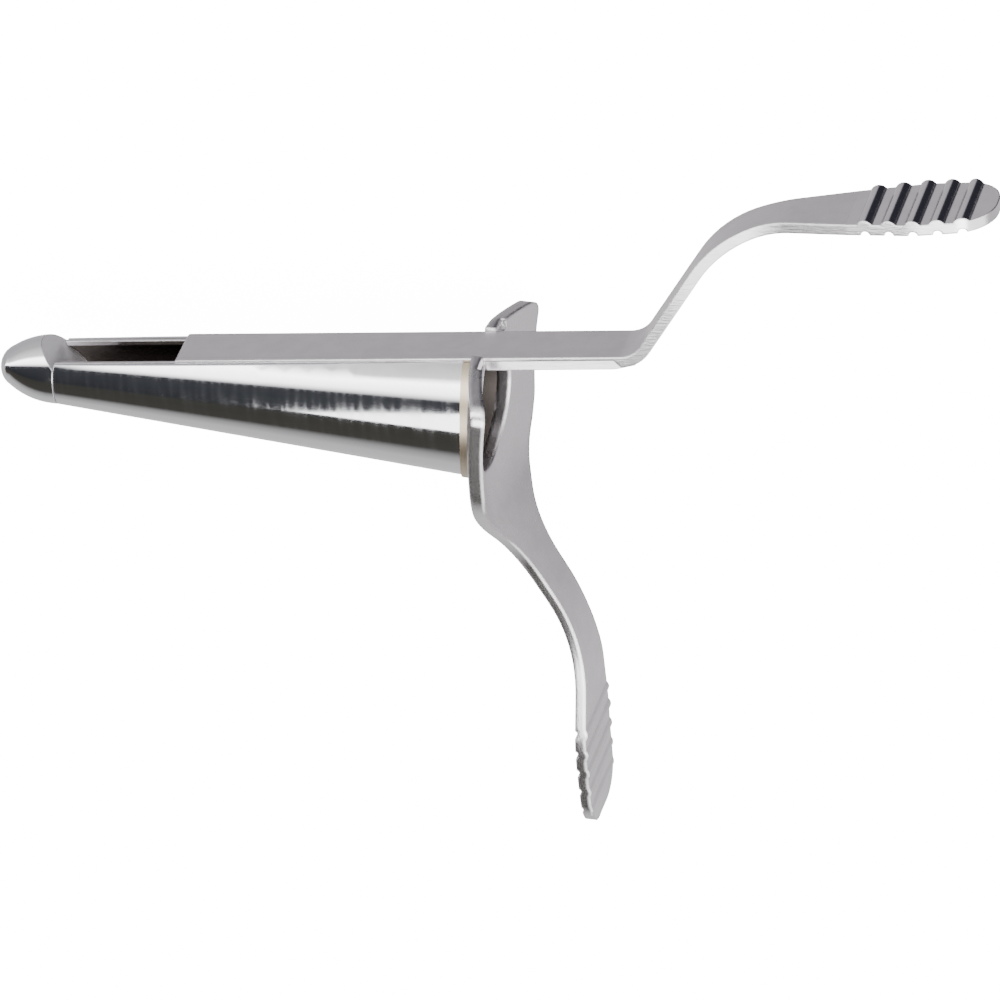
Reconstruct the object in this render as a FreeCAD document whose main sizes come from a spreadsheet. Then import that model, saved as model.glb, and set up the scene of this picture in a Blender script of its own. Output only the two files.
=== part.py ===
# A closed-nose anal speculum: a slotted, tapered barrel with a solid nose and a dished
# flange and handle, and a slide with its own handle that closes the slot.
# Millimetres and degrees. The instrument lies on its side: +X runs along the slide towards
# the user, +Y points from the barrel's mouth to the slide, +Z is up from the tray.
# The origin is the centre of the barrel's mouth, at the back of the flange.
import FreeCAD, Part
import math
import os
import Sketcher

Vector = FreeCAD.Vector
Rotation = FreeCAD.Rotation

doc = FreeCAD.newDocument("speculum")

# Driving sizes
SIZES = [
    ("mouth_radius", 14.3, "outer radius of the barrel where it meets the flange"),
    ("neck_radius", 7.1, "outer radius of the barrel where it meets the nose"),
    ("barrel_length", 86.8, "length of the conical barrel along its axis"),
    ("barrel_wall", 1.2, "wall of the barrel"),
    ("barrel_tilt", 6.0, "angle between the barrel's axis and the slide"),
    ("flange_tilt", 7.5, "lean of the flange against the square of the slide"),
    ("nose_length", 12.6, "length of the solid nose"),
    ("nose_seam", 0.15, "open seam between the nose's shoulder and the barrel"),
    ("nose_face_angle", 53.0, "slope of the nose's flat inner face against the slide"),
    ("nose_face_place", -87.4, "where the nose's flat face crosses the slide's top level"),
    ("slide_level", 13.95, "height of the slide's top face above the mouth's centre"),
    ("slide_front", -60.6, "front edge of the slide in the photographed position"),
    ("slide_width", 11.4, "width of the slide's plate"),
    ("plate_thickness", 0.75, "thickness of the slide's plate over the barrel"),
    ("running_gap", 0.06, "clearance between the slide and its guides"),
    ("runner_depth", 2.3, "height of the dovetail runner under the plate"),
    ("runner_top_width", 8.4, "width of the runner where it meets the plate"),
    ("runner_flare", 0.4, "growth of the runner's half width for each millimetre down"),
    ("rail_depth", 1.25, "height of the guide rails"),
    ("front_bevel", 0.75, "bevel on top of the slide's front edge"),
    ("bend_place", 35.5, "corner where the slide turns up into its handle"),
    ("bend_radius", 5.5, "radius of that corner on the top face"),
    ("rise_angle", 53.0, "slope of the rising stretch of the upper handle"),
    ("crown_radius", 28.4, "radius where the upper handle levels out, on the top face"),
    ("crown_level", 43.2, "height above the mouth's centre of the corner where it levels out"),
    ("grip_slope", 2.2, "slope of the upper grip"),
    ("handle_end", 112.7, "end of the upper handle"),
    ("handle_thickness", 2.3, "thickness of the upper handle"),
    ("taper_start", 31.4, "where the slide's plate starts to thicken towards the bend"),
    ("runner_fade", 35.6, "where the runner has faded into the bend"),
    ("handle_leave", 46.0, "where the upper handle starts to narrow"),
    ("handle_narrow", 66.0, "narrowest place of the upper handle"),
    ("handle_narrow_width", 9.0, "width of the upper handle there"),
    ("grip_start", 83.0, "start of the upper grip"),
    ("grip_start_width", 14.4, "width of the upper grip at its start"),
    ("grip_middle", 97.0, "widest place of the upper grip"),
    ("grip_middle_width", 17.9, "width of the upper grip there"),
    ("grip_end_width", 16.6, "width of the upper grip at its end"),
    ("grip_end_corner", 7.7, "corner radius of the upper grip's end"),
    ("flange_thickness", 2.8, "thickness of the flange"),
    ("lower_thickness", 2.2, "thickness of the lower handle"),
    ("dish_radius", 67.0, "radius of the hollow user side of the flange, below the mouth's centre"),
    ("neck_dish_radius", 48.0, "radius of the hollow where the lower handle has left the flange"),
    ("flat_radius", 400.0, "radius of the nearly flat face of the lower grip"),
    ("flange_width", 49.4, "width of the flange"),
    ("flange_top", 14.9, "top of the flange above the mouth's centre"),
    ("flange_corner", 3.5, "corner radius of the flange's ears"),
    ("ear_fall", 2.6, "fall of the flange's top edge from the slide to the ears' corners"),
    ("ear_shoulder_width", 19.0, "width of the level stretch of the flange's top edge"),
    ("ear_dish_radius", 71.0, "radius of the hollow of the flange's ears"),
    ("shoulder_drop", 11.3, "depth below the mouth's centre of the flange's lower corners"),
    ("shoulder_width", 44.8, "width of the flange there"),
    ("shoulder_radius", 12.0, "radius of those corners"),
    ("neck_drop", 29.1, "depth where the flange has narrowed into the lower handle"),
    ("neck_width", 12.6, "width of the lower handle there"),
    ("neck_corner", 18.0, "radius of that corner"),
    ("waist_drop", 48.9, "depth of the lower handle's narrowest place"),
    ("waist_width", 12.0, "narrowest width of the lower handle"),
    ("lower_grip_drop", 72.0, "depth where the lower grip reaches its full width"),
    ("lower_grip_width", 21.8, "width of the lower grip"),
    ("lower_end_width", 20.0, "width of the lower grip at its end"),
    ("lower_end_corner", 7.5, "corner radius of the lower grip's end"),
    ("foot_drop", 16.43, "depth below the mouth's centre where the lower handle leaves the flange"),
    ("foot_radius", 22.0, "radius of that turn on the user side"),
    ("lower_slope", 32.4, "slope of the lower handle below the flange"),
    ("heel_drop", 49.1, "depth where the lower handle turns down again"),
    ("heel_radius", 45.0, "radius of that turn on the user side"),
    ("lower_grip_slope", 3.5, "slope of the lower grip"),
    ("lower_end_drop", 92.05, "depth of the lower handle's end"),
    ("ridge_first", 86.9, "crest of the first ridge of the upper grip"),
    ("ridge_pitch", 4.95, "distance between the ridges of the upper grip"),
    ("ridge_radius", 1.85, "radius of the ridges of the upper grip"),
    ("ridge_height", 0.9, "height of the ridges of the upper grip"),
    ("lower_ridge_first", 68.9, "depth of the first ridge's crest on the lower grip"),
    ("lower_ridge_pitch", 4.5, "distance between the ridges of the lower grip"),
    ("lower_ridge_radius", 1.75, "radius of the ridges of the lower grip"),
    ("lower_ridge_height", 0.38, "height of the ridges of the lower grip"),
    ("notch_radius", 0.95, "radius of the notches on the back of both grips"),
    ("notch_depth", 0.85, "depth of the notches of the upper grip"),
    ("lower_notch_depth", 0.5, "depth of the notches of the lower grip"),
    ("kerf_place", 4.9, "place of the saw cut across the flange's ears"),
    ("kerf_width", 0.8, "width of that cut"),
    ("kerf_depth", 1.8, "depth of that cut"),
    ("kerf_length", 21.2, "length of that cut across both ears"),
    ("braze_width", 1.7, "width of the braze band round the barrel's mouth"),
    ("braze_height", 0.45, "height of the braze band over the barrel"),
]

sheet = doc.addObject("Spreadsheet::Sheet", "Sizes")
for row, (name, number, meaning) in enumerate(SIZES, start=1):
    sheet.set(f"A{row}", name)
    sheet.set(f"B{row}", str(number))
    sheet.setAlias(f"B{row}", name)
    sheet.set(f"C{row}", meaning)
doc.recompute()


class Size:
    """A length, angle or ratio that keeps its number and its formula together."""

    def __init__(self, number, formula):
        self.number = number
        self.formula = formula

    def __add__(self, other):
        other = as_size(other)
        return Size(self.number + other.number, f"({self.formula} + {other.formula})")

    def __radd__(self, other):
        return as_size(other) + self

    def __sub__(self, other):
        other = as_size(other)
        return Size(self.number - other.number, f"({self.formula} - {other.formula})")

    def __rsub__(self, other):
        return as_size(other) - self

    def __mul__(self, other):
        other = as_size(other)
        return Size(self.number * other.number, f"({self.formula} * {other.formula})")

    def __rmul__(self, other):
        return as_size(other) * self

    def __truediv__(self, other):
        other = as_size(other)
        return Size(self.number / other.number, f"({self.formula} / {other.formula})")

    def __neg__(self):
        return Size(-self.number, f"(-1 * {self.formula})")


def as_size(value):
    if isinstance(value, Size):
        return value
    return Size(float(value), f"({float(value)})")


def given(name):
    return Size(float(sheet.get(name)), f"Sizes.{name}")


def tangent(angle):
    return Size(math.tan(math.radians(angle.number)), f"tan({angle.formula})")


def sine(angle):
    return Size(math.sin(math.radians(angle.number)), f"sin({angle.formula})")


def cosine(angle):
    return Size(math.cos(math.radians(angle.number)), f"cos({angle.formula})")


def bind(item, path, size):
    item.setExpression(path, as_size(size).formula)


# Sketches and simple solids
def place_point(sketch, geometry, end, x, y):
    for kind, size in (("DistanceX", x), ("DistanceY", y)):
        index = sketch.addConstraint(Sketcher.Constraint(kind, -1, 1, geometry, end, size.number))
        bind(sketch, f"Constraints[{index}]", size)


def direction(start, end):
    return (end - start).normalize()


def outline(name, corners, closed=True):
    """A sketch of straight edges through the corners, each corner rounded by its own radius."""
    sketch = doc.addObject("Sketcher::SketchObject", name)
    corners = [tuple(as_size(value) for value in corner) for corner in corners]
    spots = [Vector(corner[0].number, corner[1].number, 0) for corner in corners]
    count = len(corners)
    inner = range(count) if closed else range(1, count - 1)
    arrive = list(spots)
    leave = list(spots)
    rounds = {}
    for i in inner:
        radius = corners[i][2] if len(corners[i]) > 2 else None
        if radius is None:
            continue
        back = direction(spots[i], spots[i - 1])
        ahead = direction(spots[i], spots[(i + 1) % count])
        half = math.acos(max(-1.0, min(1.0, back.dot(ahead)))) / 2
        reach = radius.number / math.tan(half)
        arrive[i] = spots[i] + back * reach
        leave[i] = spots[i] + ahead * reach
        centre = spots[i] + (back + ahead).normalize() * (radius.number / math.sin(half))
        left_turn = back.cross(ahead).z < 0
        rounds[i] = (radius, centre, left_turn)
    edges = {}
    for i in range(count if closed else count - 1):
        line = Part.LineSegment(leave[i], arrive[(i + 1) % count])
        edges[i] = sketch.addGeometry(line, False)
    for i in range(count):
        before = edges.get((i - 1) % count) if closed or i > 0 else None
        after = edges.get(i)
        if i in rounds:
            radius, centre, left_turn = rounds[i]
            first, last = (arrive[i], leave[i]) if left_turn else (leave[i], arrive[i])
            angles = [math.atan2(spot.y - centre.y, spot.x - centre.x) for spot in (first, last)]
            circle = Part.Circle(centre, Vector(0, 0, 1), radius.number)
            arc = sketch.addGeometry(Part.ArcOfCircle(circle, angles[0], angles[1]), False)
            corner = sketch.addGeometry(Part.Point(spots[i]), True)
            place_point(sketch, corner, 1, corners[i][0], corners[i][1])
            sketch.addConstraint(Sketcher.Constraint("PointOnObject", corner, 1, before))
            sketch.addConstraint(Sketcher.Constraint("PointOnObject", corner, 1, after))
            sketch.addConstraint(Sketcher.Constraint("Tangent", before, 2, arc, 1 if left_turn else 2))
            sketch.addConstraint(Sketcher.Constraint("Tangent", after, 1, arc, 2 if left_turn else 1))
            index = sketch.addConstraint(Sketcher.Constraint("Radius", arc, radius.number))
            bind(sketch, f"Constraints[{index}]", radius)
        elif after is None:
            place_point(sketch, before, 2, corners[i][0], corners[i][1])
        else:
            if before is not None:
                sketch.addConstraint(Sketcher.Constraint("Coincident", before, 2, after, 1))
            place_point(sketch, after, 1, corners[i][0], corners[i][1])
    return sketch


def extrusion(name, sketch, axis, length):
    """The sketch pushed both ways along the axis, by the whole length in all."""
    solid = doc.addObject("Part::Extrusion", name)
    solid.Base = sketch
    solid.DirMode = "Custom"
    solid.Dir = axis
    solid.Solid = True
    solid.Symmetric = True
    bind(solid, "LengthFwd", length)
    return solid


def side_solid(name, corners, width):
    """An outline in X and Y, pushed across the instrument."""
    return extrusion(name, outline(name + "_outline", corners), Vector(0, 0, 1), width)


def revolved(name, corners):
    """An outline in X and Y, turned round the X axis."""
    solid = doc.addObject("Part::Revolution", name)
    solid.Source = outline(name + "_outline", corners)
    solid.Axis = Vector(1, 0, 0)
    solid.Angle = 360
    solid.Solid = True
    return solid


def cut(name, base, tool):
    result = doc.addObject("Part::Cut", name)
    result.Base = base
    result.Tool = tool
    return result


def common(name, base, tool):
    result = doc.addObject("Part::Common", name)
    result.Base = base
    result.Tool = tool
    return result


def fused(name, shapes):
    result = doc.addObject("Part::MultiFuse", name)
    result.Shapes = shapes
    return result


def lean(item, angle):
    """Turns a solid made square to the slide about the mouth's centre, down towards the user."""
    item.Placement = FreeCAD.Placement(Vector(), Rotation(Vector(0, 0, 1), -angle.number))
    bind(item, "Placement.Rotation.Angle", -angle)
    return item


def place_leaning(item, x, y, angle, turn):
    """Places a round tool at a point of a leaning frame, with its own turn inside that frame."""
    along = x * cosine(angle) + y * sine(angle)
    up = y * cosine(angle) - x * sine(angle)
    stand = f"vector({along.formula}; {up.formula}; 0)"
    both = f"rotation(vector(0; 0; 1); {(-angle).formula}) * rotation({turn})"
    item.setExpression("Placement", f"placement({stand}; {both})")


# Where a sketch of Y and Z stands: its own x is Y, its own y is Z, and it faces X
ACROSS = Rotation(Vector(1, 1, 1), 120)
# Where a sketch of X and Z stands: its own x is X, its own y is Z
FLAT = Rotation(Vector(1, 0, 0), 90)
# A cylinder's own axis, turned to lie along X or along Y
TURN_TO_X = "vector(0; 1; 0); 90"
TURN_TO_Y = "vector(1; 0; 0); -90"

# Sizes worked out from the driving ones
mouth_radius = given("mouth_radius")
neck_radius = given("neck_radius")
barrel_length = given("barrel_length")
wall = given("barrel_wall")
tilt = given("barrel_tilt")
flange_tilt = given("flange_tilt")
gap = given("running_gap")
level = given("slide_level")
plate = given("plate_thickness")
runner_depth = given("runner_depth")
flare = given("runner_flare")
rail_depth = given("rail_depth")
flange_thickness = given("flange_thickness")
dish = given("dish_radius")
taper = (mouth_radius - neck_radius) / barrel_length
lip_level = level - plate - gap
runner_floor = level - plate - runner_depth
runner_top_half = given("runner_top_width") / 2
runner_half = runner_top_half + flare * runner_depth
channel_half = runner_half + gap
rail_floor = lip_level - rail_depth
face_run = tangent(given("nose_face_angle"))
big = 3 * mouth_radius


def nose_face(height, front=given("nose_face_place")):
    """Where the sloping end face, or a face parallel to it, stands at a height."""
    return front + (level - height) / face_run


def beyond_nose_face(name, floor, width):
    """All that lies above a floor, on the user's side of the nose's flat face."""
    roof = level + mouth_radius
    far = given("handle_end")
    corners = [(nose_face(floor), floor), (far, floor), (far, roof), (nose_face(roof), roof)]
    return side_solid(name, corners, width)


def flange_back(name, shift):
    """The round space on the user's side of the flange's back, moved along the barrel."""
    drum = doc.addObject("Part::Cylinder", name)
    bind(drum, "Radius", dish + flange_thickness)
    bind(drum, "Height", 4 * mouth_radius)
    centre = dish + flange_thickness + shift
    place_leaning(drum, centre, -2 * mouth_radius, flange_tilt, TURN_TO_Y)
    return drum


# Barrel
def barrel_ring(name, inside, outside, start, end):
    """A conical ring along the barrel's wall, between two heights over its outer face."""
    corners = [
        (start, mouth_radius + start * taper + inside),
        (end, mouth_radius + end * taper + inside),
        (end, mouth_radius + end * taper + outside),
        (start, mouth_radius + start * taper + outside),
    ]
    return revolved(name, corners)


def make_barrel(flange):
    start = given("nose_seam") - barrel_length
    ring = barrel_ring("barrel_ring", -wall, as_size(0), start, mouth_radius / 2)
    inside = flange_back("barrel_mouth_trim", flange_thickness / 2)
    trimmed = cut("barrel_blank", lean(ring, tilt), inside)
    over_slot = beyond_nose_face("slot_space", lip_level, big)
    channel = beyond_nose_face("channel_space", runner_floor - gap, 2 * channel_half)
    return cut("barrel", trimmed, fused("slot_cutter", [over_slot, channel, flange]))


# The nose's rounding: its two corners and their radii, as parts of its length and its radius
NOSE_SIDE = 0.45
NOSE_SIDE_RADIUS = 1.3
NOSE_TIP = 0.37
NOSE_TIP_RADIUS = 0.62


def make_nose():
    length = given("nose_length")
    tip = -barrel_length - length
    shoulder = -barrel_length - NOSE_SIDE * length
    corners = [
        (-barrel_length, 0),
        (-barrel_length, neck_radius),
        (shoulder, neck_radius, NOSE_SIDE_RADIUS * length),
        (tip, NOSE_TIP * neck_radius, NOSE_TIP_RADIUS * neck_radius),
        (tip, 0),
    ]
    bullet = revolved("nose_bullet", corners)
    spigot = doc.addObject("Part::Cone", "nose_spigot")
    spigot.Placement = FreeCAD.Placement(Vector(), Rotation(Vector(0, 1, 0), 90))
    bind(spigot, "Radius1", neck_radius - wall)
    bind(spigot, "Radius2", neck_radius - wall + 2 * neck_radius * taper)
    bind(spigot, "Height", 2 * neck_radius)
    bind(spigot, "Placement.Base.x", -barrel_length)
    plug = lean(fused("nose_blank", [bullet, spigot]), tilt)
    return cut("nose", plug, beyond_nose_face("nose_face_cut", -neck_radius, big))


def make_rails():
    start = nose_face(rail_floor)
    end = flange_thickness + lip_level * tangent(flange_tilt)
    inner_top = runner_top_half + gap + flare * gap
    corners = [
        (rail_floor, inner_top + flare * rail_depth),
        (lip_level, inner_top),
        (lip_level, channel_half),
        (rail_floor, channel_half),
    ]
    section = outline("rail_section", corners)
    section.Placement = FreeCAD.Placement(Vector(), ACROSS)
    bind(section, "Placement.Base.x", (start + end) / 2)
    upper = extrusion("upper_guide_rail", section, Vector(1, 0, 0), end - start)
    lower = doc.addObject("Part::Mirroring", "lower_guide_rail")
    lower.Source = upper
    lower.Normal = Vector(0, 0, 1)
    return [upper, lower]


def make_braze(flange):
    """The braze band round the barrel's mouth, up to the flange's own back."""
    band = barrel_ring(
        "braze_ring", as_size(0), given("braze_height"), -mouth_radius / 2, mouth_radius / 2
    )
    reach = flange_back("braze_reach", -given("braze_width"))
    near = common("braze_near_flange", lean(band, tilt), reach)
    blank = cut("braze_blank", near, flange_back("braze_mouth_trim", flange_thickness / 2))
    slot = beyond_nose_face("braze_slot", lip_level, big)
    return cut("mouth_braze", blank, fused("braze_cutters", [slot, flange]))


# Flange and lower handle, made square to the slide and then leaned about the mouth's centre
foot = -given("foot_drop")
heel = -given("heel_drop")
lower_slope = given("lower_slope")
lower_grip_slope = given("lower_grip_slope")
lower_thickness = given("lower_thickness")
heel_place = flange_thickness + (foot - heel) * tangent(lower_slope)


def lower_face(height):
    """Where the user side of the lower grip stands at a height."""
    return heel_place + (heel - height) * tangent(lower_grip_slope)


def concentric_arc(section, radius, thickness, half):
    """Adds an arc of a hollow face, or of its back, whose centre lies over the sketch's origin."""
    reach = radius + thickness
    swing = math.asin(half.number / reach.number)
    circle = Part.Circle(Vector(0, radius.number, 0), Vector(0, 0, 1), reach.number)
    middle = -math.pi / 2
    arc = section.addGeometry(Part.ArcOfCircle(circle, middle - swing, middle + swing), False)
    section.addConstraint(Sketcher.Constraint("PointOnObject", arc, 3, -2))
    place = Sketcher.Constraint("DistanceY", -1, 1, arc, 3, radius.number)
    bind(section, f"Constraints[{section.addConstraint(place)}]", radius)
    size = Sketcher.Constraint("Radius", arc, reach.number)
    bind(section, f"Constraints[{section.addConstraint(size)}]", reach)
    for end, side in ((1, -1), (2, 1)):
        spot = Sketcher.Constraint("DistanceX", -1, 1, arc, end, side * half.number)
        bind(section, f"Constraints[{section.addConstraint(spot)}]", side * half)
    return arc


def strip_section(name, place, height, slope, radius, thickness):
    """The strip's cross section at a point of its path: two arcs and the edges between them."""
    half = given("flange_width") / 2 + flange_thickness
    section = doc.addObject("Sketcher::SketchObject", name)
    arcs = [concentric_arc(section, radius, depth, half) for depth in (as_size(0), thickness)]
    for end in (1, 2):
        spots = [section.getPoint(arc, end) for arc in arcs]
        side = section.addGeometry(Part.LineSegment(spots[0], spots[1]), False)
        section.addConstraint(Sketcher.Constraint("Coincident", side, 1, arcs[0], end))
        section.addConstraint(Sketcher.Constraint("Coincident", side, 2, arcs[1], end))
    stand = f"vector({place.formula}; {height.formula}; 0)"
    turn = f"rotation(vector(0; 0; 1); {slope.formula}) * rotation(vector(1; 1; 1); 240)"
    section.setExpression("Placement", f"placement({stand}; {turn})")
    return section


def dished_strip():
    """The curved strip from the flange's top to the lower handle's end. Its hollow fades out."""
    top = 2 * given("flange_top")
    end = -(given("lower_end_drop") + mouth_radius)
    corners = [
        (flange_thickness, top),
        (flange_thickness, foot, given("foot_radius")),
        (heel_place, heel, given("heel_radius")),
        (lower_face(end), end),
    ]
    spine = outline("lower_handle_spine", corners, closed=False)
    level_slope = as_size(0)
    middle = (foot + heel) / 2
    middle_place = flange_thickness + (foot - middle) * tangent(lower_slope)
    heel_reach = given("heel_radius") * tangent((lower_slope - lower_grip_slope) / 2)
    after_heel = heel - heel_reach - lower_thickness
    flat = given("flat_radius")
    ear_dish = given("ear_dish_radius")
    grip = (after_heel + end) / 2
    places = [
        (flange_thickness, top, level_slope, ear_dish, flange_thickness),
        (flange_thickness, mouth_radius / 2, level_slope, ear_dish, flange_thickness),
        (flange_thickness, -mouth_radius / 2, level_slope, dish, flange_thickness),
        (middle_place, middle, lower_slope, given("neck_dish_radius"), lower_thickness),
        (lower_face(after_heel), after_heel, lower_grip_slope, flat, lower_thickness),
        (lower_face(grip), grip, lower_grip_slope, flat, lower_thickness),
        (lower_face(end), end, lower_grip_slope, flat, lower_thickness),
    ]
    sweep = doc.addObject("Part::Sweep", "dished_strip")
    sweep.Sections = [strip_section(f"strip_section_{i + 1}", *row) for i, row in enumerate(places)]
    sweep.Spine = (spine, [])
    sweep.Solid = True
    sweep.Frenet = False
    return sweep


def both_sides(half_outline):
    """Closes an outline that is the same on both sides of its first coordinate's axis."""
    return half_outline + [(row[0], -1 * row[1]) + tuple(row[2:]) for row in reversed(half_outline)]


def front_outline():
    """The outline of flange and handle seen from the user: a shield, a waist and a grip."""
    shoulder_radius = given("shoulder_radius")
    half_outline = [
        (given("flange_top"), given("ear_shoulder_width") / 2, shoulder_radius),
        (
            given("flange_top") - given("ear_fall"),
            given("flange_width") / 2,
            given("flange_corner"),
        ),
        (-given("shoulder_drop"), given("shoulder_width") / 2, shoulder_radius),
        (-given("neck_drop"), given("neck_width") / 2, given("neck_corner")),
        (-given("waist_drop"), given("waist_width") / 2, 5 * shoulder_radius),
        (-given("lower_grip_drop"), given("lower_grip_width") / 2, 2 * shoulder_radius),
        (-given("lower_end_drop"), given("lower_end_width") / 2, given("lower_end_corner")),
    ]
    sketch = outline("shield_outline", both_sides(half_outline))
    sketch.Placement = FreeCAD.Placement(Vector(), ACROSS)
    return extrusion("shield_block", sketch, Vector(1, 0, 0), 4 * big)


def cross_bar(name, place, height, radius):
    """A round bar across the instrument, for one ridge or one notch of a grip."""
    bar = doc.addObject("Part::Cylinder", name)
    bind(bar, "Radius", radius)
    bind(bar, "Height", big)
    bind(bar, "Placement.Base.x", place)
    bind(bar, "Placement.Base.y", height)
    bind(bar, "Placement.Base.z", -1 * big / 2)
    return bar


RIDGES = 5


def lower_grip():
    """The ridges on the user side of the lower grip, and the bars that notch its back."""
    pitch = given("lower_ridge_pitch")
    radius = given("lower_ridge_radius")
    sink = radius - given("lower_ridge_height")
    notch = given("notch_radius")
    lift = notch - given("lower_notch_depth")
    ridges = []
    notches = []
    for i in range(RIDGES):
        height = -(given("lower_ridge_first") + i * pitch)
        face = lower_face(height)
        ridges.append(cross_bar(f"lower_ridge_{i + 1}", face - sink, height, radius))
        back = face - lower_thickness - lift
        notches.append(cross_bar(f"lower_notch_{i + 1}", back, height, notch))
    first = -given("lower_ridge_first") + pitch
    last = -given("lower_end_drop") - pitch
    core = lower_thickness / 2
    bed = [
        (lower_face(first) - core, first),
        (lower_face(first) + mouth_radius, first),
        (lower_face(last) + mouth_radius, last),
        (lower_face(last) - core, last),
    ]
    rows = fused("lower_ridge_bars", ridges)
    return common("lower_ridges", rows, side_solid("lower_ridge_bed", bed, big)), notches


def make_flange():
    ridges, notches = lower_grip()
    strip = fused("ridged_strip", [dished_strip(), ridges])
    shield = common("flange_shield", strip, front_outline())
    notched = lean(cut("flange_blank", shield, fused("lower_notches", notches)), flange_tilt)
    bore = doc.addObject("Part::Cylinder", "mouth_bore")
    bind(bore, "Radius", mouth_radius - wall)
    bind(bore, "Height", mouth_radius)
    place_leaning(bore, -mouth_radius / 2, as_size(0), tilt, TURN_TO_X)
    plate_space = beyond_nose_face("flange_plate_space", lip_level, given("slide_width") + 4 * gap)
    channel = beyond_nose_face("flange_channel_space", as_size(0), 2 * channel_half)
    half_kerf = given("kerf_width") / 2
    floor = level - given("kerf_depth")
    kerf_corners = [
        (given("kerf_place") - half_kerf, floor),
        (given("kerf_place") + half_kerf, floor),
        (given("kerf_place") + half_kerf, level + mouth_radius),
        (given("kerf_place") - half_kerf, level + mouth_radius),
    ]
    kerf = side_solid("ear_kerf", kerf_corners, given("kerf_length"))
    return cut("flange_handle", notched, fused("flange_slot", [bore, plate_space, channel, kerf]))


# Slide
front = given("slide_front")
thick = given("handle_thickness")
rise = given("rise_angle")
grip_slope = given("grip_slope")
bend = given("bend_place")
crown = bend + (given("crown_level") - level) / tangent(rise)


def grip_face(place):
    """The height of the upper grip's top face, without its ridges."""
    return given("crown_level") + (place - crown) * tangent(grip_slope)


def handle_path():
    """The side view of the slide and its handle, thick as the handle all along."""
    end = given("handle_end")
    bevel = given("front_bevel")
    bevel_floor = level - bevel / 2
    reach = thick / cosine((rise - grip_slope) / 2)
    mean = (rise + grip_slope) / 2
    under_crown = (crown + reach * sine(mean), given("crown_level") - reach * cosine(mean))
    return [
        (front + bevel, level),
        (bend, level, given("bend_radius")),
        (crown, given("crown_level"), given("crown_radius")),
        (end, grip_face(end)),
        (end, grip_face(end) - thick),
        (under_crown[0], under_crown[1], given("crown_radius") - thick),
        (bend + thick * tangent(rise / 2), level - thick, given("bend_radius") + thick),
        (nose_face(level - thick, front), level - thick),
        (nose_face(bevel_floor, front), bevel_floor),
    ]


def slide_plan():
    """The slide and its handle seen from above."""
    corner = given("grip_end_corner")
    half_outline = [
        (front - 1 * plate, given("slide_width") / 2),
        (given("handle_leave"), given("slide_width") / 2, 8 * corner),
        (given("handle_narrow"), given("handle_narrow_width") / 2, 4 * corner),
        (given("grip_start"), given("grip_start_width") / 2, 4 * corner),
        (given("grip_middle"), given("grip_middle_width") / 2, 3 * corner),
        (given("handle_end"), given("grip_end_width") / 2, corner),
    ]
    sketch = outline("slide_plan", both_sides(half_outline))
    sketch.Placement = FreeCAD.Placement(Vector(), FLAT)
    return extrusion("slide_plan_block", sketch, Vector(0, 1, 0), 4 * big)


def upper_grip():
    """The ridges on top of the upper grip, and the bars that notch its underside."""
    pitch = given("ridge_pitch")
    radius = given("ridge_radius")
    sink = radius - given("ridge_height")
    notch = given("notch_radius")
    lift = notch - given("notch_depth")
    ridges = []
    notches = []
    for i in range(RIDGES):
        place = given("ridge_first") + i * pitch
        face = grip_face(place)
        ridges.append(cross_bar(f"upper_ridge_{i + 1}", place, face - sink, radius))
        notches.append(cross_bar(f"upper_notch_{i + 1}", place, face - thick - lift, notch))
    first = given("ridge_first") - pitch
    last = given("handle_end") + pitch
    bed = [
        (first, grip_face(first) - thick / 2),
        (last, grip_face(last) - thick / 2),
        (last, grip_face(last) + mouth_radius),
        (first, grip_face(first) + mouth_radius),
    ]
    rows = fused("upper_ridge_bars", ridges)
    return common("upper_ridges", rows, side_solid("upper_ridge_bed", bed, big)), notches


def make_slide():
    ridges, notches = upper_grip()
    side = fused("slide_side_ridged", [side_solid("slide_side", handle_path(), big), ridges])
    blank = common("slide_blank", side, slide_plan())
    under = level - plate
    bottom = level - thick
    tip = bend - given("bend_radius") / 2
    relief_corners = [
        (front - thick, under),
        (given("taper_start"), under),
        (tip, bottom),
        (tip, bottom - thick),
        (front - thick, bottom - thick),
    ]
    relief = side_solid("slide_relief", relief_corners, big)
    return cut("slide_blade", blank, fused("slide_cutters", [relief] + notches))


def make_runner(blade):
    """The dovetail runner under the slide's plate, shaped to the bend where it ends."""
    under = level - plate
    fade = given("runner_fade")
    side_corners = [
        (nose_face(under, front), under),
        (fade, under),
        (fade, level - thick),
        (given("taper_start"), runner_floor, 4 * thick),
        (nose_face(runner_floor, front), runner_floor),
    ]
    side = side_solid("runner_side", side_corners, big)
    corners = [
        (runner_floor, runner_half),
        (under, runner_top_half),
        (under, -1 * runner_top_half),
        (runner_floor, -1 * runner_half),
    ]
    section = outline("runner_section", corners)
    section.Placement = FreeCAD.Placement(Vector(), ACROSS)
    bar = extrusion("runner_bar", section, Vector(1, 0, 0), 4 * given("handle_end"))
    return cut("slide_runner", common("runner_blank", side, bar), blade)


flange_handle = make_flange()
slide_blade = make_slide()
parts = [make_barrel(flange_handle), make_nose(), make_braze(flange_handle), flange_handle]
parts += [slide_blade, make_runner(slide_blade)] + make_rails()
doc.recompute()

for item in doc.Objects:
    if "Invalid" in item.State or "Error" in item.State:
        raise RuntimeError(f"{item.Name} is not valid: {item.State}")
for item in parts:
    if item.Shape.isNull() or not item.Shape.isValid():
        raise RuntimeError(f"{item.Label} has no valid shape")
    if len(item.Shape.Solids) != 1:
        raise RuntimeError(f"{item.Label} is not one solid")
    box = item.Shape.BoundBox
    print(item.Label, round(item.Shape.Volume, 2), "mm3", box)

os.makedirs("parts", exist_ok=True)
for item in parts:
    item.Shape.exportStep(f"parts/{item.Label}.step")
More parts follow.
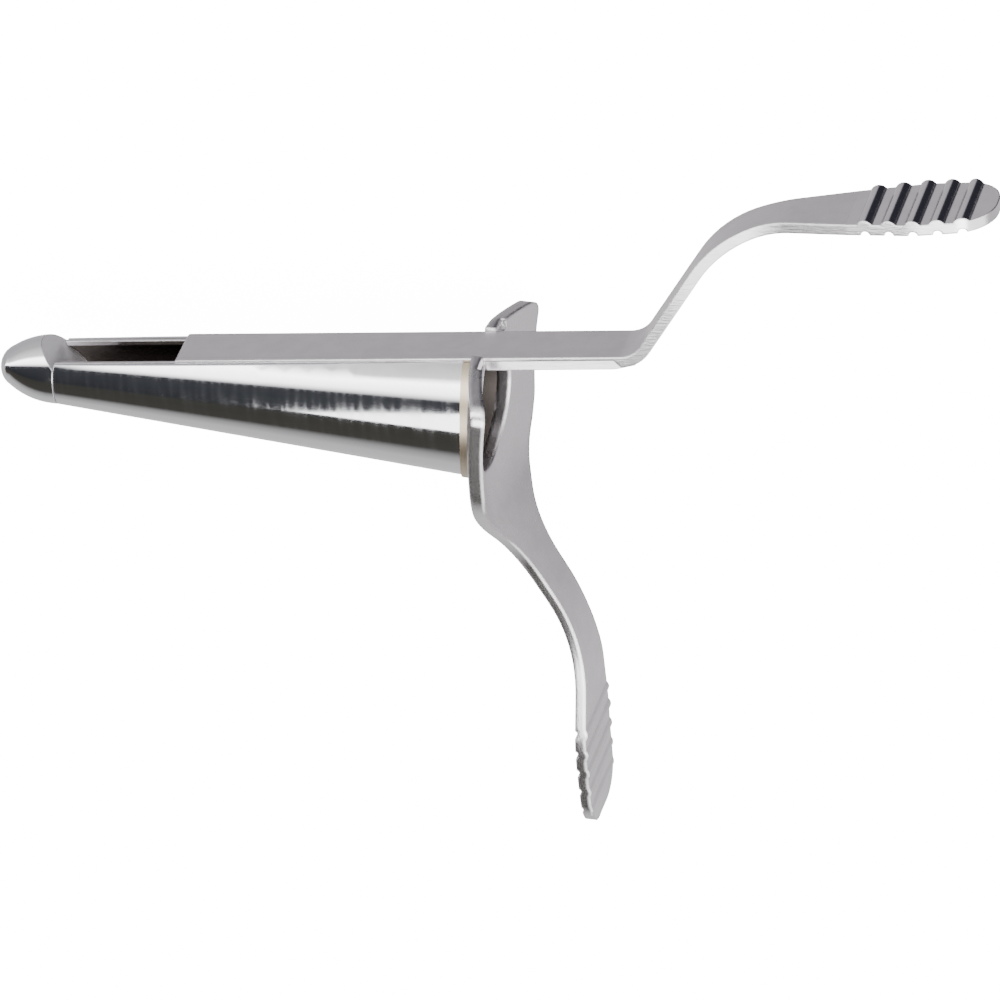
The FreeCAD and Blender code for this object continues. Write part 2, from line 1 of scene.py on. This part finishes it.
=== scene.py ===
"""A closed-nose anal speculum, lying on its side on a pale studio floor.

Lengths are in metres, in the part's own frame: +x runs along the slide toward the user,
+y toward the slide's side, and +z up from the floor.
"""

import math

import bpy
from mathutils import Matrix, Vector


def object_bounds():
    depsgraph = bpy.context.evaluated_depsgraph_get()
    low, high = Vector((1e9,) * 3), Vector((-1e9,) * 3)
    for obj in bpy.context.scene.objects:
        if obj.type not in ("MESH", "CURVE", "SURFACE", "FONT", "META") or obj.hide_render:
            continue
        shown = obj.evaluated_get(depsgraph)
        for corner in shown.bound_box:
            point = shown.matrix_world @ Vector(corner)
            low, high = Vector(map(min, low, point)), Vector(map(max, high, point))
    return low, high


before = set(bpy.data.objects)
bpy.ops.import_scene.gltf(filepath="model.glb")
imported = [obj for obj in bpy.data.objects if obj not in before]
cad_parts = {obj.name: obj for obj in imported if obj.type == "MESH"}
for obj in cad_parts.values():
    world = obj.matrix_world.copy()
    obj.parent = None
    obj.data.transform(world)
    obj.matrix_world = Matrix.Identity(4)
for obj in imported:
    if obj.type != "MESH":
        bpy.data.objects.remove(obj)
CAD_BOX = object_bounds()

# The camera, from the photograph: the side and height it looks from, its roll and distance,
# and how far its aim lies from the middle of the mouth, to the right and up.
CAMERA_SIDE = math.radians(17.26)
CAMERA_RISE = math.radians(28.41)
CAMERA_ROLL = math.radians(-8.62)
CAMERA_DISTANCE = 2.098
CAMERA_LENS = 374.5
CAMERA_SENSOR = 36.0
CAMERA_REACH = 20.0
CAMERA_AIM = (0.00466, -0.01902)

# The barrel and nose, for the finishes that tell the inside and the flat face from the rest
MOUTH_RADIUS = 0.0143
BARREL_TAPER = 0.083
BARREL_TILT = math.radians(6.0)
INSIDE_STARTS = (0.0004, 0.0007)
NOSE_FACE_SLOPE = math.radians(53.0)
NOSE_FACE_SPREAD = (0.9, 0.97)

# Colours of the metal
SATIN_COLOUR = (0.62, 0.60, 0.615)
WORN_SHADE = 0.93
POLISHED_COLOUR = (0.64, 0.64, 0.66)
# Painted shade: the inside of the barrel takes this dark colour for the shade in the bore.
BORE_PAINTED_SHADE = (0.10, 0.088, 0.08)
NOSE_FACE_COLOUR = (0.85, 0.83, 0.86)
BRAZE_COLOUR = (0.42, 0.36, 0.27)

# Roughness: wear makes the satin faces a little smoother or rougher in patches, and the
# polished barrel keeps fine lines from the drawing
SLIDE_ROUGHNESS = 0.34
FLANGE_ROUGHNESS = 0.30
SMALL_PIECE_ROUGHNESS = 0.36
SATIN_WEAR = (-0.04, 0.05)
SLIDE_RIM_ROUGHNESS = 0.25
FLANGE_RIM_ROUGHNESS = 0.22
RIM_SPREAD = (0.25, 0.6)
BARREL_ROUGHNESS = (0.07, 0.13)
INSIDE_ROUGHNESS = 0.4
NOSE_ROUGHNESS = 0.09
NOSE_FACE_ROUGHNESS = 0.45
BRAZE_ROUGHNESS = 0.35

# Each grip: the axis it lies along, where its ridges take over, and their roughness
UPPER_GRIP = ("X", (0.0825, 0.0835), 0.13)
LOWER_GRIP = ("Y", (-0.078, -0.081), 0.2)

# How softly the edges turn
RAIL_EDGE = 0.0004
SLIDE_EDGE = 0.0005
FLANGE_EDGE = 0.0011
POLISHED_EDGE = 0.0002
EDGE_SAMPLES = 6

# Grain: how fine it is, how it is drawn out along each axis, and how deep
NOISE_DETAIL = 4.0
PATCH_SCALE = 260.0
PATCH_DETAIL = 5.0
PATCH_SPREAD = (0.3, 0.75)
BRUSH_SCALE = 2500.0
BRUSH_DEPTH = 0.00002
BRUSHED_ALONG_SLIDE = (0.15, 1.0, 1.0)
BRUSHED_ALONG_HANDLE = (1.0, 0.15, 1.0)
POLISH_SCALE = 900.0
DRAWN_ROUND_BARREL = (1.0, 0.12, 0.12)
LINE_SPREAD = (0.35, 0.7)
BARREL_GRAIN_DEPTH = 0.0000012
TURNED_ROUND_NOSE = (1.0, 0.3, 0.3)
NOSE_GRAIN_DEPTH = 0.000004

# The floor
FLOOR_REACH = 3.0
FLOOR_COLOUR = (0.85, 0.85, 0.85)
FLOOR_ROUGHNESS = 0.9
FLOOR_GLOW = 14.0

# The studio, as bands that run along the instrument: degrees from +y up over +z and on
# round, strength and tint
WHITE = (1.0, 1.0, 1.0)
PINK = (1.0, 0.97, 1.0)
LAVENDER = (1.0, 0.97, 1.02)
BLUE = (0.90, 0.93, 1.07)
OLIVE = (1.05, 1.0, 0.88)
STUDIO = [
    (-180, 0.9, WHITE),
    (-120, 1.0, PINK),
    (-95, 0.8, PINK),
    (-60, 0.75, LAVENDER),
    (-20, 0.9, WHITE),
    (18, 2.0, WHITE),
    (28, 9.0, WHITE),
    (45, 6.0, WHITE),
    (56, 0.08, BLUE),
    (102, 0.05, BLUE),
    (112, 0.07, OLIVE),
    (146, 0.08, OLIVE),
    (160, 0.55, WHITE),
    (179, 0.9, WHITE),
]

# Two parts of the studio that cross the bands: a light behind the user and above the floor,
# and a dark screen low on the slide's side, which the ridges of the upper grip mirror. Each
# starts and ends where a direction's x, y or z has these values.
USER_LIGHT = (3.5, 3.5, 3.5)
USER_LIGHT_X = (-0.12, 0.06)
USER_LIGHT_Z = (-0.1, 0.1)
SCREEN = (0.04, 0.04, 0.055)
SCREEN_X = (-0.22, -0.06)
SCREEN_Y = (0.05, 0.2)
SCREEN_Z = (-0.3, -0.5)

# A small softbox close above the barrel, whose corner draws the wedge of light on it
SOFTBOX_PLACE = (0.066, -0.036, 0.285)
SOFTBOX_TURN = math.radians(-20.0)
SOFTBOX_SIZE = (0.40, 0.20)
SOFTBOX_POWER = 1.7


class Nodes:
    """Short ways to add and join the nodes of one material or world."""

    def __init__(self, tree):
        self.tree = tree

    def feed(self, socket, value):
        """Joins another node's output to the socket, or sets it to a plain value."""
        if isinstance(value, bpy.types.NodeSocket):
            self.tree.links.new(value, socket)
        else:
            socket.default_value = value

    def add(self, kind, inputs=None, **settings):
        node = self.tree.nodes.new(kind)
        for name, value in settings.items():
            setattr(node, name, value)
        for key, value in (inputs or {}).items():
            self.feed(node.inputs[key], value)
        return node

    def math(self, operation, first, second=0.0):
        return self.add("ShaderNodeMath", {0: first, 1: second}, operation=operation).outputs[0]

    def product(self, first, *others):
        for other in others:
            first = self.math("MULTIPLY", first, other)
        return first

    def dot(self, first, second):
        node = self.add("ShaderNodeVectorMath", {0: first, 1: second}, operation="DOT_PRODUCT")
        return node.outputs["Value"]

    def split(self, vector):
        return self.add("ShaderNodeSeparateXYZ", {"Vector": vector}).outputs

    def step(self, value, spread):
        """Rises smoothly from 0 at the spread's first value to 1 at its second."""
        inputs = {"Value": value, "From Min": spread[0], "From Max": spread[1]}
        return self.add("ShaderNodeMapRange", inputs, interpolation_type="SMOOTHSTEP").outputs["Result"]

    def mix(self, share, first, second):
        """Goes from one number to another as the share goes from 0 to 1."""
        inputs = {"Factor": share, "A": first, "B": second}
        return self.add("ShaderNodeMix", inputs, data_type="FLOAT").outputs["Result"]

    def mix_colours(self, share, first, second):
        """Goes from one colour to another as the share goes from 0 to 1."""
        node = self.add("ShaderNodeMix", {"Factor": share}, data_type="RGBA")
        colours = [socket for socket in node.inputs if socket.type == "RGBA"]
        self.feed(colours[0], first)
        self.feed(colours[1], second)
        return next(socket for socket in node.outputs if socket.type == "RGBA")

    def noise(self, scale, detail=NOISE_DETAIL, stretch=(1.0, 1.0, 1.0)):
        inputs = {0: self.place(), 1: stretch}
        place = self.add("ShaderNodeVectorMath", inputs, operation="MULTIPLY").outputs["Vector"]
        inputs = {"Vector": place, "Scale": scale, "Detail": detail}
        return self.add("ShaderNodeTexNoise", inputs).outputs["Fac"]

    def place(self):
        return self.add("ShaderNodeTexCoord").outputs["Object"]


def solid(colour):
    """A colour as the sockets want it, with no part of it see-through."""
    return (*colour, 1.0)


def new_material(name, colour, roughness, metallic=1.0):
    material = bpy.data.materials.new(name)
    material.use_nodes = True
    shader = material.node_tree.nodes["Principled BSDF"]
    shader.inputs["Base Color"].default_value = solid(colour)
    shader.inputs["Metallic"].default_value = metallic
    shader.inputs["Roughness"].default_value = roughness
    return material, Nodes(material.node_tree), shader


def rounded(nodes, radius):
    """Normals that turn softly over the edges, as ground and polished edges do."""
    return nodes.add("ShaderNodeBevel", {"Radius": radius}, samples=EDGE_SAMPLES).outputs["Normal"]


def add_grain(nodes, shader, normal, scale, stretch, depth):
    height = nodes.noise(scale, stretch=stretch)
    bump = nodes.add("ShaderNodeBump", {"Distance": depth, "Height": height, "Normal": normal})
    nodes.feed(shader.inputs["Normal"], bump.outputs["Normal"])


def satin_steel(name, roughness, rim_roughness, brushed, edge, grip=None):
    """Brushed faces with smoother rims, where the metal was ground, and smoother ridges."""
    material, nodes, shader = new_material(name, SATIN_COLOUR, roughness)
    normal = rounded(nodes, edge)
    rim = nodes.step(nodes.math("ABSOLUTE", nodes.split(normal)["Z"]), RIM_SPREAD)
    patches = nodes.step(nodes.noise(PATCH_SCALE, PATCH_DETAIL), PATCH_SPREAD)
    finish = nodes.mix(patches, *(roughness + change for change in SATIN_WEAR))
    if grip:
        axis, spread, grip_roughness = grip
        ridged = nodes.step(nodes.split(nodes.place())[axis], spread)
        finish = nodes.mix(ridged, finish, grip_roughness)
    worn = solid([WORN_SHADE * part for part in SATIN_COLOUR])
    nodes.feed(shader.inputs["Roughness"], nodes.mix(rim, finish, rim_roughness))
    nodes.feed(shader.inputs["Base Color"], nodes.mix_colours(patches, solid(SATIN_COLOUR), worn))
    add_grain(nodes, shader, normal, BRUSH_SCALE, brushed, BRUSH_DEPTH)
    return material


def depth_in_barrel(nodes):
    """How far a place lies inside the barrel's outer face."""
    place = nodes.add("ShaderNodeNewGeometry").outputs["Position"]
    cosine, sine = math.cos(BARREL_TILT), math.sin(BARREL_TILT)
    along = nodes.dot(place, (cosine, -sine, 0.0))
    up = nodes.dot(place, (sine, cosine, 0.0))
    across = nodes.split(place)["Z"]
    squares = nodes.math("ADD", nodes.product(up, up), nodes.product(across, across))
    outer = nodes.math("ADD", nodes.product(along, BARREL_TAPER), MOUTH_RADIUS)
    return nodes.math("SUBTRACT", outer, nodes.math("SQRT", squares))


def barrel_steel():
    """Mirror polished outside, with fine drawing lines, and painted shade inside: the bore is coloured
    dark.
    """
    material, nodes, shader = new_material("barrel_steel", POLISHED_COLOUR, BARREL_ROUGHNESS[0])
    inside = nodes.step(depth_in_barrel(nodes), INSIDE_STARTS)
    lines = nodes.step(nodes.noise(POLISH_SCALE, stretch=DRAWN_ROUND_BARREL), LINE_SPREAD)
    finish = nodes.mix(inside, nodes.mix(lines, *BARREL_ROUGHNESS), INSIDE_ROUGHNESS)
    # Painted shade: the inside of the barrel is coloured dark, for the shade in the bore.
    colour = nodes.mix_colours(inside, solid(POLISHED_COLOUR), solid(BORE_PAINTED_SHADE))
    nodes.feed(shader.inputs["Roughness"], finish)
    nodes.feed(shader.inputs["Base Color"], colour)
    normal = rounded(nodes, POLISHED_EDGE)
    add_grain(nodes, shader, normal, POLISH_SCALE, DRAWN_ROUND_BARREL, BARREL_GRAIN_DEPTH)
    return material


def nose_steel():
    """Polished all round, with the satin flat face that looks back along the barrel."""
    material, nodes, shader = new_material("nose_steel", POLISHED_COLOUR, NOSE_ROUGHNESS)
    normal = rounded(nodes, POLISHED_EDGE)
    flat = (math.sin(NOSE_FACE_SLOPE), math.cos(NOSE_FACE_SLOPE), 0.0)
    face = nodes.step(nodes.dot(normal, flat), NOSE_FACE_SPREAD)
    colour = nodes.mix_colours(face, solid(POLISHED_COLOUR), solid(NOSE_FACE_COLOUR))
    nodes.feed(shader.inputs["Roughness"], nodes.mix(face, NOSE_ROUGHNESS, NOSE_FACE_ROUGHNESS))
    nodes.feed(shader.inputs["Base Color"], colour)
    add_grain(nodes, shader, normal, POLISH_SCALE, TURNED_ROUND_NOSE, NOSE_GRAIN_DEPTH)
    return material


def dress(material, *pieces):
    for piece in pieces:
        for slot in bpy.data.objects[piece].material_slots:
            slot.material = material


def dress_all():
    small = satin_steel("satin_steel", SMALL_PIECE_ROUGHNESS, SLIDE_RIM_ROUGHNESS,
                        BRUSHED_ALONG_SLIDE, RAIL_EDGE)
    slide = satin_steel("slide_steel", SLIDE_ROUGHNESS, SLIDE_RIM_ROUGHNESS,
                        BRUSHED_ALONG_SLIDE, SLIDE_EDGE, UPPER_GRIP)
    flange = satin_steel("flange_steel", FLANGE_ROUGHNESS, FLANGE_RIM_ROUGHNESS,
                         BRUSHED_ALONG_HANDLE, FLANGE_EDGE, LOWER_GRIP)
    braze, _, _ = new_material("braze", BRAZE_COLOUR, BRAZE_ROUGHNESS)
    dress(small, "upper_guide_rail", "lower_guide_rail", "slide_runner")
    dress(slide, "slide_blade")
    dress(flange, "flange_handle")
    dress(barrel_steel(), "barrel")
    dress(nose_steel(), "nose")
    dress(braze, "mouth_braze")


def make_camera():
    """The photograph's camera. Its own axes are right, up and back toward the camera."""
    side, rise = CAMERA_SIDE, CAMERA_RISE
    flat = math.cos(rise)
    back = Vector((math.sin(side) * flat, math.sin(rise), math.cos(side) * flat))
    level = Vector((math.cos(side), 0.0, -math.sin(side)))
    right = level * math.cos(CAMERA_ROLL) + back.cross(level) * math.sin(CAMERA_ROLL)
    up = back.cross(right)
    data = bpy.data.cameras.new("camera")
    data.lens = CAMERA_LENS
    data.sensor_width = CAMERA_SENSOR
    data.clip_end = CAMERA_REACH
    camera = bpy.data.objects.new("camera", data)
    place = back * CAMERA_DISTANCE + right * CAMERA_AIM[0] + up * CAMERA_AIM[1]
    turn = Matrix((right, up, back)).transposed().to_4x4()
    camera.matrix_world = Matrix.Translation(place) @ turn
    bpy.context.collection.objects.link(camera)
    bpy.context.scene.camera = camera


def make_floor():
    """A pale floor that glows like a lit table. The metal mirrors the studio in its place."""
    lowest = CAD_BOX[0][2]
    signs = [(-1, -1), (1, -1), (1, 1), (-1, 1)]
    corners = [(x * FLOOR_REACH, y * FLOOR_REACH, lowest) for x, y in signs]
    mesh = bpy.data.meshes.new("floor")
    mesh.from_pydata(corners, [], [(0, 1, 2, 3)])
    floor = bpy.data.objects.new("floor", mesh)
    bpy.context.collection.objects.link(floor)
    material, _, shader = new_material("floor_paper", FLOOR_COLOUR, FLOOR_ROUGHNESS, 0.0)
    shader.inputs["Emission Color"].default_value = solid(WHITE)
    shader.inputs["Emission Strength"].default_value = FLOOR_GLOW
    mesh.materials.append(material)
    floor.visible_glossy = False


def make_softbox():
    data = bpy.data.lights.new("softbox", "AREA")
    data.shape = "RECTANGLE"
    data.size, data.size_y = SOFTBOX_SIZE
    data.energy = SOFTBOX_POWER
    softbox = bpy.data.objects.new("softbox", data)
    softbox.location = SOFTBOX_PLACE
    softbox.rotation_euler = (0.0, 0.0, SOFTBOX_TURN)
    softbox.visible_camera = False
    bpy.context.collection.objects.link(softbox)


def studio_bands(nodes, direction):
    """The colour of the studio's bands in a direction, by its angle about the x axis."""
    angle = nodes.math("ARCTAN2", direction["Z"], direction["Y"])
    turn = nodes.math("ADD", nodes.math("DIVIDE", angle, 2 * math.pi), 0.5)
    ramp = nodes.add("ShaderNodeValToRGB", {"Fac": turn})
    stops = ramp.color_ramp.elements
    places = [degrees / 360 + 0.5 for degrees, _, _ in STUDIO]
    for place in places[len(stops):]:
        stops.new(place)
    for stop, place in zip(stops, places):
        stop.position = place
    for stop, (_, strength, tint) in zip(stops, STUDIO):
        stop.color = solid([strength * part for part in tint])
    return ramp.outputs["Color"]


def make_world():
    world = bpy.data.worlds.new("studio")
    bpy.context.scene.world = world
    world.use_nodes = True
    nodes = Nodes(world.node_tree)
    direction = nodes.split(nodes.add("ShaderNodeTexCoord").outputs["Generated"])
    screen = nodes.product(
        nodes.step(direction["X"], SCREEN_X),
        nodes.step(direction["Y"], SCREEN_Y),
        nodes.step(direction["Z"], SCREEN_Z),
    )
    user_light = nodes.product(
        nodes.step(direction["X"], USER_LIGHT_X),
        nodes.step(direction["Z"], USER_LIGHT_Z),
    )
    colour = nodes.mix_colours(screen, studio_bands(nodes, direction), solid(SCREEN))
    colour = nodes.mix_colours(user_light, colour, solid(USER_LIGHT))
    nodes.feed(world.node_tree.nodes["Background"].inputs["Color"], colour)


dress_all()
make_camera()
make_floor()
make_softbox()
make_world()
